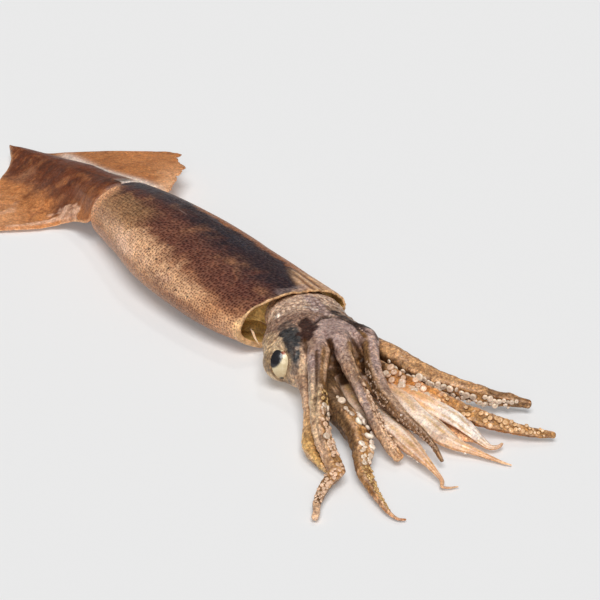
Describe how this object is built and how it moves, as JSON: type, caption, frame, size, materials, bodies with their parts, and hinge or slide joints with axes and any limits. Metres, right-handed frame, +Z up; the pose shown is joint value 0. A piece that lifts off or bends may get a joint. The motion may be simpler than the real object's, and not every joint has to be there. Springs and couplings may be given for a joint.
{
  "type": "whole raw squid",
  "caption": "Whole raw squid lying belly down, with a tapering mantle, two tail fins, a head with eyes and a fan of suckered arms.",
  "frame": {"origin": "on the surface the squid lies on, in the middle of the flat strip that the belly rests on", "axes": "+X from the tail to the head, +Y to the squid's own left, +Z up out of its back"},
  "size_m": [0.376, 0.1136, 0.0278],
  "materials": {
    "mantle_skin": "wet, speckled brown skin",
    "fin_skin": "wet, thin orange-tan skin",
    "head_skin": "wet, mottled grey-brown skin",
    "sucker": "wet, pale flesh",
    "eye": "wet, glossy"
  },
  "bodies": {
    "root": {"squid": "mantle_skin", "eye_left": "eye", "eye_right": "eye"}
  },
  "joints": []
}
